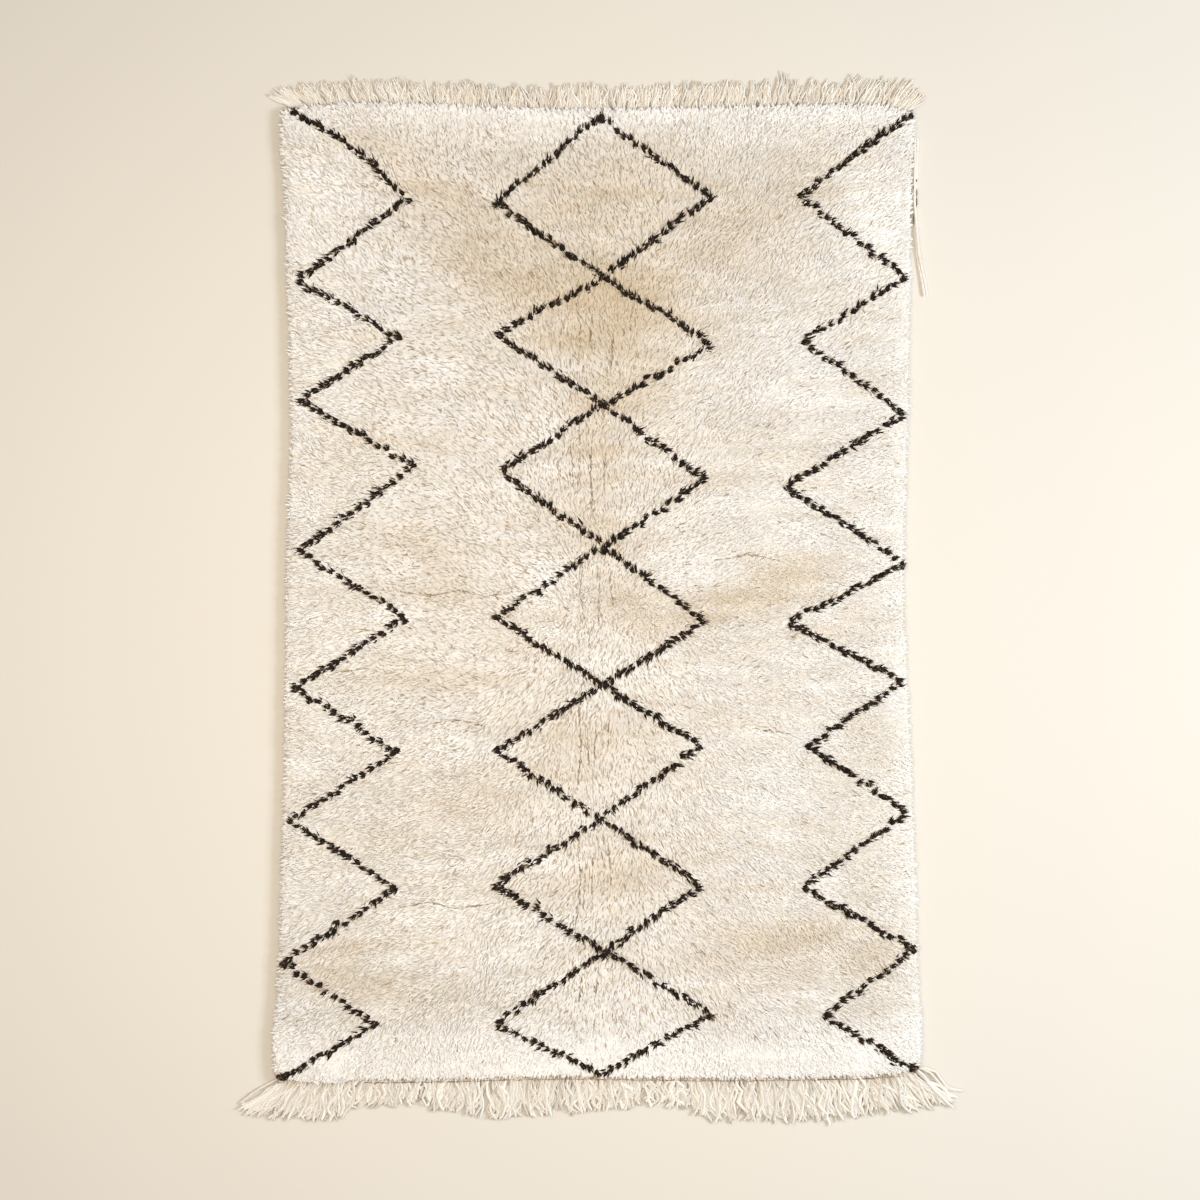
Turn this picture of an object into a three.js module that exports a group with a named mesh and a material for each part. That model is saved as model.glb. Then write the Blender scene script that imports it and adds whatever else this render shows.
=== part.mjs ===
// A hand-knotted wool pile rug, lying flat. Units are millimetres, +Z is up.
// Its long side runs along Y, with the short fringe at the +Y end and the long fringe at the -Y end.
// The origin is on the underside, at the middle of the rug with its fringes.
//
// The rug is woven in one piece. rug_body is the ground weave and its pile. The warps run on past the
// pile as a fringe at each end, each one comb of yarn bundles. A doubled side yarn has come away
// from the right selvedge and lies beside it.

import * as THREE from 'three';

// Driving dimensions
const PILE_TOP = 24; // height of the pile's tips over the floor
const PILE_SHOULDER = 13; // height at which the pile's edge starts to round over
const EDGE_ROUNDING = 12; // how far the rounded upper edge reaches inwards
const ROUNDING_STEPS = 4;
const SEAT_GAP = 0.3; // gap between pieces that touch
const FRINGE_THICKNESS = 5;
const FRINGE_HEADER = 8; // depth of the woven rows that hold the warp ends together
const BUNDLE_FILL = 0.76; // share of the pitch that a yarn bundle fills at its root
const EDGE_STEPS = 36; // points along each end of the body
const SIDE_STEPS = 48; // points along each side of the body
const CORNER_STEPS = 5;
const YARN_DIAMETER = 9; // the doubled yarn, over both strands
const YARN_SIDES = 8;
const YARN_STEPS = 24;

// The pile's edge line. The sides wander by a few centimetres, as on any hand-woven rug.
const LEFT_SIDE = [
  { x: -736, y: 1128 },
  { x: -750, y: 1092 },
  { x: -741, y: 956 },
  { x: -734, y: 712 },
  { x: -727, y: 415 },
  { x: -735, y: 159 },
  { x: -739, y: -120 },
  { x: -743, y: -400 },
  { x: -750, y: -687 },
  { x: -759, y: -900 },
  { x: -769, y: -1015 },
  { x: -769, y: -1098 },
];
const RIGHT_SIDE = [
  { x: 757, y: -1086 },
  { x: 756, y: -987 },
  { x: 748, y: -867 },
  { x: 742, y: -628 },
  { x: 732, y: -370 },
  { x: 722, y: -150 },
  { x: 714, y: 30 },
  { x: 719, y: 250 },
  { x: 725, y: 430 },
  { x: 729, y: 659 },
  { x: 732, y: 879 },
  { x: 736, y: 1010 },
  { x: 738, y: 1122 },
];
const TOP_END = [
  { x: 716, y: 1151 },
  { x: 640, y: 1164 },
  { x: 474, y: 1164 },
  { x: 253, y: 1158 },
  { x: 87, y: 1155 },
  { x: -60, y: 1153 },
  { x: -260, y: 1158 },
  { x: -424, y: 1166 },
  { x: -600, y: 1168 },
  { x: -706, y: 1157 },
];
const BOTTOM_END = [
  { x: -745, y: -1127 },
  { x: -640, y: -1137 },
  { x: -539, y: -1129 },
  { x: -328, y: -1126 },
  { x: -100, y: -1120 },
  { x: 100, y: -1122 },
  { x: 340, y: -1124 },
  { x: 560, y: -1121 },
  { x: 660, y: -1117 },
  { x: 733, y: -1108 },
];

// The fringes, by place along the end. reach is how far the tips lie from the pile's edge, and
// lean is how far they lie to the side of their root.
const TOP_FRINGE = {
  bundles: 92,
  tipWidth: 8,
  unevenness: [1, 0.88, 1.05, 0.93, 0.99, 0.85, 1.03],
  stations: [
    { x: -706, reach: 26, lean: -82 },
    { x: -690, reach: 44, lean: -58 },
    { x: -660, reach: 50, lean: -34 },
    { x: -560, reach: 44, lean: -26 },
    { x: -400, reach: 44, lean: -16 },
    { x: -120, reach: 56, lean: -8 },
    { x: 160, reach: 56, lean: 0 },
    { x: 420, reach: 60, lean: 8 },
    { x: 600, reach: 52, lean: 16 },
    { x: 680, reach: 50, lean: 32 },
    { x: 704, reach: 38, lean: 48 },
    { x: 716, reach: 24, lean: 54 },
  ],
};
const BOTTOM_FRINGE = {
  bundles: 84,
  tipWidth: 9,
  unevenness: [0.98, 1.03, 0.9, 1, 0.94, 1.05, 0.96],
  stations: [
    { x: -745, reach: 58, lean: -114 },
    { x: -715, reach: 74, lean: -82 },
    { x: -660, reach: 84, lean: -40 },
    { x: -600, reach: 82, lean: -26 },
    { x: -570, reach: 58, lean: -22 },
    { x: -400, reach: 56, lean: -16 },
    { x: -340, reach: 74, lean: -10 },
    { x: -200, reach: 90, lean: -6 },
    { x: -40, reach: 78, lean: 0 },
    { x: 60, reach: 68, lean: 4 },
    { x: 130, reach: 58, lean: 6 },
    { x: 230, reach: 86, lean: 10 },
    { x: 360, reach: 98, lean: 10 },
    { x: 520, reach: 94, lean: 14 },
    { x: 630, reach: 86, lean: 24 },
    { x: 690, reach: 80, lean: 56 },
    { x: 733, reach: 68, lean: 118 },
  ],
};

// The loose yarn's centre line, from the top of the selvedge down to its cut end, on the floor.
const YARN_HEIGHT = YARN_DIAMETER / 2 + 0.1;
const YARN_ROUTE = [
  { x: 743.1, y: 1086 },
  { x: 742.5, y: 1062 },
  { x: 741.7, y: 1036 },
  { x: 741.1, y: 1010 },
  { x: 740.2, y: 984 },
  { x: 739.5, y: 958 },
  { x: 739.2, y: 934 },
  { x: 740.2, y: 910 },
  { x: 741.8, y: 886 },
  { x: 743.2, y: 862 },
  { x: 744.4, y: 838 },
  { x: 746.4, y: 814 },
  { x: 750.2, y: 790 },
  { x: 755.0, y: 768 },
  { x: 759.6, y: 744 },
  { x: 762.8, y: 726 },
  { x: 765.2, y: 710 },
];

function smoothLine(rows, steps) {
  return new THREE.SplineCurve(rows.map((row) => new THREE.Vector2(row.x, row.y))).getPoints(steps);
}

// The rounded corner between two stretches of the edge line, without its two end points.
function corner(from, control, to) {
  return new THREE.QuadraticBezierCurve(from, control, to).getPoints(CORNER_STEPS).slice(1, -1);
}

const leftLine = smoothLine(LEFT_SIDE, SIDE_STEPS);
const rightLine = smoothLine(RIGHT_SIDE, SIDE_STEPS);
const topLine = smoothLine(TOP_END, EDGE_STEPS);
const bottomLine = smoothLine(BOTTOM_END, EDGE_STEPS);

// The whole outline, anticlockwise from the bottom of the right side.
function bodyOutline() {
  const stretches = [rightLine, topLine, leftLine, bottomLine];
  const points = [];
  stretches.forEach((line, i) => {
    const next = stretches[(i + 1) % stretches.length];
    const from = line[line.length - 1];
    const to = next[0];
    const sideFirst = i % 2 === 0;
    const control = sideFirst ? new THREE.Vector2(from.x, to.y) : new THREE.Vector2(to.x, from.y);
    points.push(...line, ...corner(from, control, to));
  });
  return points;
}

// The outline moved inwards by one distance at each point, along the mean of its two sides' normals.
function insetOutline(outline, distance) {
  return outline.map((point, i) => {
    const before = outline[(i + outline.length - 1) % outline.length];
    const after = outline[(i + 1) % outline.length];
    const along = after.clone().sub(before).normalize();
    return new THREE.Vector2(point.x - along.y * distance, point.y + along.x * distance);
  });
}

// The edge's cross-section: upright beside the floor, then a quarter ellipse over to the top.
function edgeProfile() {
  const rows = [{ inset: 0, z: 0 }];
  for (let step = 0; step <= ROUNDING_STEPS; step += 1) {
    const angle = (Math.PI / 2) * (step / ROUNDING_STEPS);
    rows.push({
      inset: EDGE_ROUNDING * (1 - Math.cos(angle)),
      z: PILE_SHOULDER + (PILE_TOP - PILE_SHOULDER) * Math.sin(angle),
    });
  }
  return rows;
}

function bodyGeometry() {
  const outline = bodyOutline();
  const count = outline.length;
  const profile = edgeProfile();
  const positions = [];
  profile.forEach((row) => {
    insetOutline(outline, row.inset).forEach((point) => positions.push(point.x, point.y, row.z));
  });
  const faces = [];
  for (let level = 0; level < profile.length - 1; level += 1) {
    for (let i = 0; i < count; i += 1) {
      const a = level * count + i;
      const b = level * count + ((i + 1) % count);
      faces.push(a, b, b + count, a, b + count, a + count);
    }
  }
  const lastLevel = (profile.length - 1) * count;
  const topRing = insetOutline(outline, profile[profile.length - 1].inset);
  THREE.ShapeUtils.triangulateShape(outline, []).forEach(([a, b, c]) => faces.push(a, c, b));
  THREE.ShapeUtils.triangulateShape(topRing, []).forEach(([a, b, c]) => {
    faces.push(lastLevel + a, lastLevel + b, lastLevel + c);
  });
  const geometry = new THREE.BufferGeometry();
  geometry.setAttribute('position', new THREE.Float32BufferAttribute(positions, 3));
  geometry.setIndex(faces);
  geometry.computeVertexNormals();
  return geometry;
}

// A value from a table whose rows are ordered by x.
function valueAt(rows, column, x) {
  const last = rows.findIndex((row) => row.x >= x);
  if (last <= 0) {
    return rows[last === 0 ? 0 : rows.length - 1][column];
  }
  const [low, high] = [rows[last - 1], rows[last]];
  const share = (x - low.x) / (high.x - low.x);
  return low[column] + (high[column] - low[column]) * share;
}

// One comb. line is the pile's edge in order of x, and outwards is +1 at the top end, -1 at the bottom.
function fringeGeometry(fringe, line, outwards) {
  const first = line[0].x;
  const pitch = (line[line.length - 1].x - first) / fringe.bundles;
  const rootHalf = (pitch * BUNDLE_FILL) / 2;
  const outline = line.map((point) => new THREE.Vector2(point.x, point.y + outwards * SEAT_GAP));
  const toothed = [];
  for (let i = 0; i < fringe.bundles; i += 1) {
    const x = first + pitch * (i + 0.5);
    const uneven = fringe.unevenness[i % fringe.unevenness.length];
    const tipX = x + valueAt(fringe.stations, 'lean', x);
    const tipY = valueAt(line, 'y', x) + outwards * valueAt(fringe.stations, 'reach', x) * uneven;
    const rootY = (at) => valueAt(line, 'y', at) + outwards * (SEAT_GAP + FRINGE_HEADER);
    toothed.push(new THREE.Vector2(x - rootHalf, rootY(x - rootHalf)));
    toothed.push(new THREE.Vector2(tipX - fringe.tipWidth / 2, tipY));
    toothed.push(new THREE.Vector2(tipX + fringe.tipWidth / 2, tipY));
    toothed.push(new THREE.Vector2(x + rootHalf, rootY(x + rootHalf)));
  }
  const shape = new THREE.Shape([...outline, ...toothed.reverse()]);
  return new THREE.ExtrudeGeometry(shape, { depth: FRINGE_THICKNESS, bevelEnabled: false });
}

function yarnGeometry() {
  const route = new THREE.CatmullRomCurve3(
    YARN_ROUTE.map((row) => new THREE.Vector3(row.x, row.y, YARN_HEIGHT)),
  );
  const section = new THREE.Shape();
  for (let side = 0; side < YARN_SIDES; side += 1) {
    const angle = (2 * Math.PI * side) / YARN_SIDES;
    const x = (YARN_DIAMETER / 2) * Math.cos(angle);
    const y = (YARN_DIAMETER / 2) * Math.sin(angle);
    section[side === 0 ? 'moveTo' : 'lineTo'](x, y);
  }
  section.closePath();
  return new THREE.ExtrudeGeometry(section, { extrudePath: route, steps: YARN_STEPS });
}

const wool = (color, roughness) => new THREE.MeshStandardMaterial({ color, roughness, metalness: 0 });

function piece(name, geometry, material) {
  const mesh = new THREE.Mesh(geometry, material);
  mesh.name = name;
  return mesh;
}

const rug = new THREE.Group();
rug.add(piece('rug_body', bodyGeometry(), wool(0xeee5d6, 0.95)));
rug.add(piece('fringe_top', fringeGeometry(TOP_FRINGE, [...topLine].reverse(), 1), wool(0xe4d8c4, 0.9)));
rug.add(piece('fringe_bottom', fringeGeometry(BOTTOM_FRINGE, bottomLine, -1), wool(0xe8dfd0, 0.9)));
rug.add(piece('loose_selvedge_yarn', yarnGeometry(), wool(0xf0e6d6, 0.9)));

export default rug;
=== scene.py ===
import math

import bpy
import numpy as np
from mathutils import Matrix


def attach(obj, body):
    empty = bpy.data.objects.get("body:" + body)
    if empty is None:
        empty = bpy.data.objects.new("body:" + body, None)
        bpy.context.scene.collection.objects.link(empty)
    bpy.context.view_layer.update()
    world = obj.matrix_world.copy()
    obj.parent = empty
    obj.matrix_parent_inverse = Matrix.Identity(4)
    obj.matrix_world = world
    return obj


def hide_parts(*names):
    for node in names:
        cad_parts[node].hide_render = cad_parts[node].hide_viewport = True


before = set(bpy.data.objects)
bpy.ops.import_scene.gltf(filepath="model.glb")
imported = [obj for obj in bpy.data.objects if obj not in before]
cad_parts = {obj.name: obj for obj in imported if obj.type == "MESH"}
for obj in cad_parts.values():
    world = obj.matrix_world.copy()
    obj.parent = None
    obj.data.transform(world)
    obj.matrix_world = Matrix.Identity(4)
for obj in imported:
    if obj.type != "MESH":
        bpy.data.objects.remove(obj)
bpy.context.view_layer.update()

scene = bpy.context.scene


# ------------------------------
# Camera. It looks straight down on the middle of the rug, with the short fringe at the top of
# the frame, and it takes in a margin of plain floor all round.
CAMERA_HEIGHT = 6.0
FRAME_SIDE = 2.813  # width that the camera takes in, at the pile's mid height
SENSOR = 36.0
PILE_MIDDLE = 0.012


def placed(name, data):
    """A new object in the scene."""
    thing = bpy.data.objects.new(name, data)
    scene.collection.objects.link(thing)
    return thing


camera_data = bpy.data.cameras.new("camera")
camera_data.sensor_width = SENSOR
camera_data.lens = SENSOR * (CAMERA_HEIGHT - PILE_MIDDLE) / FRAME_SIDE
camera = placed("camera", camera_data)
camera.location = (0, 0, CAMERA_HEIGHT)
scene.camera = camera


# ------------------------------
# Ground weave. The flat woven cloth that carries the pile: wool weft beaten over undyed warps,
# with each knot's back showing underneath as a small loop, dark where the pattern's knots are.
# It is woven in one go with the pile and the fringes, and lies flat on the floor.
WEAVE_THICKNESS = 0.003
WEAVE_INSET = 0.009  # how far the pile's edge reaches past the weave
SLAB_CELLS = (100, 152)  # squares across and along the rug in the weave and in the pile's bed
KNOT_PITCH = 0.0078
ROW_PITCH = 0.0108
SIDES_END = 1.105  # past this, along the rug, the outline belongs to the ends
TOP_END = 1.15  # and past this, to the far end
PATTERN_HALF = 0.022  # half the width of the dark lines on the underside
FAR_AWAY = 9.0  # further off than anything on the rug

body_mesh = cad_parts["rug_body"].data
body_points = np.empty(len(body_mesh.vertices) * 3, np.float32)
body_mesh.vertices.foreach_get("co", body_points)
body_points = body_points.reshape(-1, 3).astype(float)
foot = np.unique(np.round(body_points[body_points[:, 2] < 1e-4][:, :2], 5), axis=0)


def side_line(points, along):
    """The points sorted by one coordinate, as two arrays: that coordinate and the other."""
    order = np.argsort(points[:, along])
    return points[order, along], points[order, 1 - along]


LEFT_LINE = side_line(foot[(foot[:, 0] < 0) & (abs(foot[:, 1]) < SIDES_END)], 1)
RIGHT_LINE = side_line(foot[(foot[:, 0] > 0) & (abs(foot[:, 1]) < SIDES_END)], 1)
TOP_LINE = side_line(foot[foot[:, 1] > TOP_END], 0)
BOTTOM_LINE = side_line(foot[foot[:, 1] < -SIDES_END], 0)


def left_edge(y):
    return np.interp(y, *LEFT_LINE)


def right_edge(y):
    return np.interp(y, *RIGHT_LINE)


def top_edge(x):
    return np.interp(x, *TOP_LINE)


def bottom_edge(x):
    return np.interp(x, *BOTTOM_LINE)


def on_rug(u, v, inset):
    """Places on the rug from shares across and along it, keeping inset away from the edge line."""
    level = bottom_edge(0) + v * (top_edge(0) - bottom_edge(0))
    x = left_edge(level) + inset + u * (right_edge(level) - left_edge(level) - 2 * inset)
    y = bottom_edge(x) + inset + v * (top_edge(x) - bottom_edge(x) - 2 * inset)
    return x, y


def near(distance, reach):
    """1 where a distance is 0 or less, falling to 0 where it reaches reach."""
    return np.clip(1 - distance / reach, 0, 1)


# The pattern's lines, drawn as the weaver would chart them, corner by corner, in metres.
LEFT_ZIGZAG = [
    (-0.722, 1.149), (-0.566, 1.048), (-0.45, 0.942), (-0.71, 0.748), (-0.469, 0.614), (-0.706, 0.469),
    (-0.434, 0.314), (-0.706, 0.115), (-0.457, -0.04), (-0.715, -0.206), (-0.481, -0.356),
    (-0.727, -0.516), (-0.478, -0.675), (-0.743, -0.851), (-0.525, -0.994), (-0.752, -1.123),
]
RIGHT_ZIGZAG = [
    (0.734, 1.143), (0.469, 0.947), (0.717, 0.755), (0.476, 0.607), (0.715, 0.436), (0.436, 0.265),
    (0.717, 0.087), (0.443, -0.052), (0.708, -0.192), (0.49, -0.342), (0.722, -0.497), (0.476, -0.675),
    (0.738, -0.818), (0.523, -0.975), (0.745, -1.104),
]
# The diamonds meet at their crossings, and bulge to either side between them.
CROSSINGS = [
    (0.0, 1.132), (0.009, 0.757), (0.007, 0.459), (0.009, 0.127), (0.007, -0.197), (0.002, -0.513),
    (0.012, -0.823), (0.002, -1.111),
]
LEFT_BULGES = [
    (-0.246, 0.931), (-0.241, 0.624), (-0.23, 0.302), (-0.246, -0.04), (-0.241, -0.354),
    (-0.246, -0.67), (-0.244, -0.992),
]
RIGHT_BULGES = [
    (0.26, 0.945), (0.265, 0.598), (0.246, 0.284), (0.246, -0.049), (0.237, -0.342), (0.239, -0.67),
    (0.263, -0.973),
]
PATTERN_LINES = [LEFT_ZIGZAG, RIGHT_ZIGZAG]
for bulges in (LEFT_BULGES, RIGHT_BULGES):
    PATTERN_LINES.append([corner for pair in zip(CROSSINGS, bulges) for corner in pair] + CROSSINGS[-1:])


def distance_to_line(x, y, corners):
    """Distance in metres from each point to a line drawn through these corners."""
    nearest = np.full(np.shape(x), FAR_AWAY)
    for (ax, ay), (bx, by) in zip(corners, corners[1:]):
        dx, dy = bx - ax, by - ay
        t = np.clip(((x - ax) * dx + (y - ay) * dy) / (dx * dx + dy * dy), 0, 1)
        nearest = np.minimum(nearest, np.hypot(x - ax - t * dx, y - ay - t * dy))
    return nearest


def mesh_from_arrays(name, points, corners, sizes, values, cells=None, normals=None):
    """An object from arrays: corners are vertex numbers face by face, and sizes each face's count."""
    mesh = bpy.data.meshes.new(name)
    mesh.vertices.add(len(points))
    mesh.vertices.foreach_set("co", np.asarray(points, np.float32).ravel())
    mesh.loops.add(len(corners))
    mesh.loops.foreach_set("vertex_index", np.asarray(corners, np.int32))
    mesh.polygons.add(len(sizes))
    starts = np.concatenate([[0], np.cumsum(sizes)[:-1]]).astype(np.int32)
    mesh.polygons.foreach_set("loop_start", starts)
    mesh.polygons.foreach_set("use_smooth", np.ones(len(sizes), bool))
    mesh.update(calc_edges=True)
    for key, numbers in values.items():
        layer = mesh.attributes.new(key, "FLOAT", "POINT")
        layer.data.foreach_set("value", np.asarray(numbers, np.float32))
    if cells is not None:
        layer = mesh.uv_layers.new(name="OFBake", do_init=False)
        layer.uv.foreach_set("vector", np.asarray(cells, np.float32).ravel())
    if normals is not None:
        mesh.normals_split_custom_set_from_vertices(normals)
    return placed(name, mesh)


def closed_slab(name, inset, upper, lower, fine_side, values):
    """A closed slab with the rug's outline, with a grid on one side and one flat face on the other.

    upper and lower give each side's height from x, y, and values gives the grid's attributes.
    """
    u, v = np.meshgrid(*[np.linspace(0, 1, cells + 1) for cells in SLAB_CELLS])
    x, y = on_rug(u, v, inset)
    number = np.arange(x.size).reshape(x.shape)
    quads = np.stack([number[:-1, :-1], number[:-1, 1:], number[1:, 1:], number[1:, :-1]], -1)
    quads = quads.reshape(-1, 4)
    ring = np.concatenate([number[0, :-1], number[:-1, -1], number[-1, :0:-1], number[:0:-1, 0]])
    flat_ring = np.arange(len(ring)) + x.size
    rx, ry = x.ravel()[ring], y.ravel()[ring]
    grid_up = fine_side == "up"
    grid_z = (upper if grid_up else lower)(x, y)
    ring_z = (lower if grid_up else upper)(rx, ry)
    grid = np.stack([x, y, grid_z], -1).reshape(-1, 3)
    points = np.concatenate([grid, np.stack([rx, ry, ring_z], -1)])
    after = np.roll(np.arange(len(ring)), -1)
    walls = np.stack([flat_ring, flat_ring[after], ring[after], ring], -1)
    faces = np.concatenate([quads, walls])
    last = flat_ring[::-1]
    if not grid_up:
        faces, last = faces[:, ::-1], last[::-1]
    sizes = np.concatenate([np.full(len(faces), 4), [len(last)]])
    corners = np.concatenate([faces.ravel(), last])
    attributes = {}
    for key, numbers in values(x, y).items():
        flat = np.asarray(numbers, float).ravel()
        attributes[key] = np.concatenate([flat, flat[ring]])
    return mesh_from_arrays(name, points, corners, sizes, attributes)


def set_inputs(tree, node, inputs):
    """Gives each of a node's inputs, by name or number, a value or a link."""
    for key, value in inputs.items():
        if isinstance(value, bpy.types.NodeSocket):
            tree.links.new(value, node.inputs[key])
        else:
            node.inputs[key].default_value = value


def add_node(tree, kind, inputs=None, **settings):
    """Adds a shader node with its settings and inputs, and returns its outputs."""
    node = tree.nodes.new(kind)
    for key, value in settings.items():
        setattr(node, key, value)
    set_inputs(tree, node, inputs or {})
    return node.outputs


def add_maths(tree, operation, *values):
    """One step of arithmetic on links or numbers."""
    return add_node(tree, "ShaderNodeMath", dict(enumerate(values)), operation=operation)[0]


def add_range(tree, value, low, high, to_low=0.0, to_high=1.0, blend="LINEAR"):
    """A value from between two limits, moved to between two others."""
    inputs = {"Value": value, "From Min": low, "From Max": high, "To Min": to_low, "To Max": to_high}
    return add_node(tree, "ShaderNodeMapRange", inputs, interpolation_type=blend)["Result"]


def add_mix(tree, factor, a, b, blend="MIX"):
    """Two colours mixed by a factor."""
    inputs = {"Factor": factor, "A": a, "B": b}
    return add_node(tree, "ShaderNodeMix", inputs, data_type="RGBA", blend_type=blend)["Result"]


def add_bump(tree, height, strength, distance):
    """Normals for a relief of this height; distance is how deep it is, in metres."""
    inputs = {"Height": height, "Strength": strength, "Distance": distance}
    return add_node(tree, "ShaderNodeBump", inputs)["Normal"]


def add_stored(tree, key):
    """What the mesh stores under this name."""
    return add_node(tree, "ShaderNodeAttribute", attribute_name=key)["Fac"]


def plain_material(name, sheen, specular):
    """A material with its Principled shader, whose plain numbers sit on the shader itself."""
    material = bpy.data.materials.new(name)
    material.use_nodes = True
    shader = material.node_tree.nodes["Principled BSDF"]
    set_inputs(material.node_tree, shader, {
        "Roughness": 0.9, "Specular IOR Level": specular, "Sheen Weight": sheen, "Sheen Roughness": 0.6,
    })
    return material, material.node_tree, shader


def weave_material():
    """The weave's underside: rows of knot backs, ivory, or dark along the pattern's lines."""
    material, tree, shader = plain_material("ground weave", sheen=0.15, specular=0.15)
    place = add_node(tree, "ShaderNodeTexCoord")["Object"]
    knots = add_node(tree, "ShaderNodeTexBrick", {
        "Vector": place, "Color1": (1, 1, 1, 1), "Color2": (0.72, 0.72, 0.72, 1), "Mortar": (0, 0, 0, 1),
        "Scale": 1.0, "Mortar Size": 0.0007, "Mortar Smooth": 0.9,
        "Brick Width": KNOT_PITCH, "Row Height": ROW_PITCH / 2,
    }, offset=0.5, squash=1.0)["Color"]
    fibre = add_node(tree, "ShaderNodeTexNoise", {"Vector": place, "Scale": 260.0, "Detail": 3.0})["Fac"]
    ragged = add_maths(tree, "ADD", add_stored(tree, "dark"), fibre)
    wool = add_mix(tree, add_range(tree, ragged, 0.98, 1.06), (0.62, 0.53, 0.41, 1), (0.035, 0.028, 0.024, 1))
    set_inputs(tree, shader, {
        "Base Color": add_mix(tree, 0.45, wool, knots, "MULTIPLY"),
        "Roughness": add_range(tree, fibre, 0.0, 1.0, 0.8, 1.0),
        "Normal": add_bump(tree, knots, strength=0.8, distance=0.001),
    })
    return material


def weave_top(x, y):
    return np.full(np.shape(x), WEAVE_THICKNESS)


def weave_values(x, y):
    """What the weave's mesh stores: how near each place is to the pattern's lines."""
    distance = np.minimum.reduce([distance_to_line(x, y, line) for line in PATTERN_LINES])
    return {"dark": near(distance, PATTERN_HALF)}


ground_weave = closed_slab(
    "ground_weave", WEAVE_INSET, upper=weave_top, lower=lambda x, y: 0 * weave_top(x, y),
    fine_side="down", values=weave_values,
)
ground_weave.data.materials.append(weave_material())
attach(ground_weave, "root")
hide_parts("rug_body")


# ------------------------------
# Pile bed. The lower half of the wool pile, where the knots stand so close that they form one
# soft mass. It is the same ivory wool as the tips, painted duller as shade because it lies deep,
# and it is tied into the ground weave row by row.
BED_INSET = 0.007
BED_HEIGHT = 0.0175
EDGE_FALL = 0.010  # how far inwards the pile's rounded edge reaches
EDGE_HEIGHT = 0.014  # height of the pile at its very edge
CORNER_RADIUS = 0.022  # of the pile's outline
NOISE_REACH = 1.7  # half the side of the square that seeded noise covers

# Where the wool has yellowed: middle, half widths, how strongly, and degrees the patch is turned.
# A strength below 0 is a paler place.
TAN_PATCHES = [
    (-0.47, 1.02, 0.2, 0.065, 0.3, -38), (-0.27, 0.8, 0.18, 0.13, 0.37, -35),
    (-0.03, 0.705, 0.19, 0.12, 0.5, 0), (0.13, 0.68, 0.14, 0.11, 0.32, 0),
    (0.02, 0.93, 0.23, 0.13, 0.34, 0), (0.33, 0.84, 0.18, 0.15, 0.24, 0),
    (0.46, 0.98, 0.09, 0.07, 0.18, 0), (-0.05, 0.585, 0.2, 0.05, 0.28, 0),
    (0.05, 0.49, 0.1, 0.06, 0.28, 0), (-0.01, 0.4, 0.09, 0.09, 0.32, 0),
    (-0.005, 0.335, 0.09, 0.018, 0.3, 0), (0.0, 0.18, 0.08, 0.14, 0.28, 0),
    (0.13, 0.42, 0.06, 0.12, 0.12, 0), (0.06, -0.01, 0.09, 0.05, 0.28, -20),
    (0.22, -0.03, 0.13, 0.045, 0.3, 8), (0.42, 0.045, 0.17, 0.055, 0.38, 14),
    (-0.42, 0.12, 0.13, 0.05, 0.22, 0), (-0.36, 0.03, 0.14, 0.05, 0.16, 0),
    (-0.22, -0.06, 0.07, 0.05, 0.2, -30), (-0.32, -0.185, 0.2, 0.03, 0.26, 2),
    (-0.6, -0.19, 0.1, 0.02, 0.12, 0), (0.0, -0.32, 0.17, 0.09, 0.26, 0),
    (-0.26, -0.44, 0.2, 0.08, 0.2, 0), (0.04, -0.63, 0.14, 0.1, 0.27, 0),
    (-0.2, -0.68, 0.1, 0.03, 0.15, 0), (-0.5, -0.8, 0.22, 0.022, 0.26, 3),
    (-0.6, -0.885, 0.13, 0.045, 0.34, -12), (0.32, -0.79, 0.15, 0.06, 0.18, 0),
    (0.48, -0.82, 0.19, 0.09, 0.26, 0), (0.66, -0.83, 0.08, 0.08, 0.2, 0),
    (-0.3, 0.49, 0.1, 0.022, 0.14, 0), (-0.45, 0.36, 0.22, 0.015, 0.14, -4),
    (0.25, 0.27, 0.09, 0.02, 0.14, 0), (-0.62, 0.92, 0.12, 0.1, -0.14, 0),
    (0.62, 0.86, 0.12, 0.14, -0.12, 0), (0.17, 0.07, 0.09, 0.06, -0.18, 0),
    (0.42, -0.42, 0.13, 0.1, -0.14, 0), (0.42, 0.55, 0.15, 0.08, -0.1, 0),
    (-0.1, -0.74, 0.2, 0.015, -0.1, 0), (-0.62, -0.38, 0.11, 0.03, -0.08, 0),
    (-0.48, 0.75, 0.11, 0.05, -0.1, 0),
]

DEEPEST_TAN = 1.6  # what a patch's strength is counted in
WHITEST = 0.2  # how much further from tan the whitest wool is than the usual wool

# Where it has stayed lightest, told in the same way.
WHITE_PATCHES = [
    (-0.655, 0.93, 0.11, 0.23, 0.9, 0), (-0.45, 1.0, 0.18, 0.07, 0.45, -12),
    (0.64, 0.9, 0.13, 0.19, 0.85, 0), (-0.65, 0.55, 0.11, 0.35, 0.3, 0),
    (-0.38, -0.74, 0.17, 0.11, 0.55, 0), (0.25, -0.9, 0.24, 0.05, 0.35, 0),
    (-0.25, 1.1, 0.14, 0.04, 0.4, 0), (0.35, 1.085, 0.26, 0.045, 0.45, 0),
    (-0.65, -0.35, 0.11, 0.3, 0.2, 0),
]


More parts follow.
